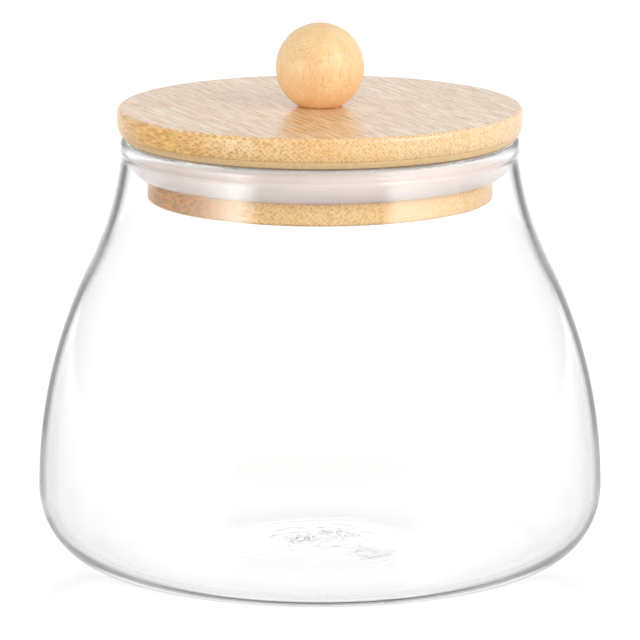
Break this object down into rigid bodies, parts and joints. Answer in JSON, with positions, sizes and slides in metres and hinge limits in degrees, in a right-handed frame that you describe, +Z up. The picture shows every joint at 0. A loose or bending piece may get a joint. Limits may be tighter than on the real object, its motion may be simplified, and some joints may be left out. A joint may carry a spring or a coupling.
{
  "type": "lidded glass canister",
  "caption": "Wide-bellied clear glass canister with a push-in bamboo lid, a silicone seal ring and a wooden ball knob, for dry food.",
  "frame": {"origin": "centre of the base, on the surface that the jar stands on", "axes": "+Z up along the jar's axis; the jar is round, so X and Y are free, and -Y faces the camera of the picture"},
  "size_m": [0.16, 0.16, 0.1532],
  "materials": {
    "glass": "clear, polished, slightly grey at the edges",
    "bamboo_cap": "light bamboo, satin lacquer, end-grain dots on the edge",
    "bamboo_plug": "light bamboo, satin, end-grain dots",
    "silicone": "milky translucent silicone, smooth",
    "knob_wood": "pale turned wood with fine upright grain, satin lacquer",
    "screw_steel": "bright zinc-plated steel"
  },
  "bodies": {
    "jar": {"glass_jar": "glass"},
    "seal": {"seal_ring": "silicone"},
    "lid": {"lid_cap": "bamboo_cap", "lid_plug": "bamboo_plug", "ball_knob": "knob_wood", "knob_screw": "screw_steel"}
  },
  "joints": [
    {"name": "lid_lift", "type": "slide", "parent": "jar", "child": "seal", "axis": [0, 0, 1], "range_m": [0, 0.12]},
    {"name": "lid_turn", "type": "hinge", "parent": "seal", "child": "lid", "pos_m": [0, 0, 0.1208], "axis": [0, 0, 1], "continuous": true}
  ]
}
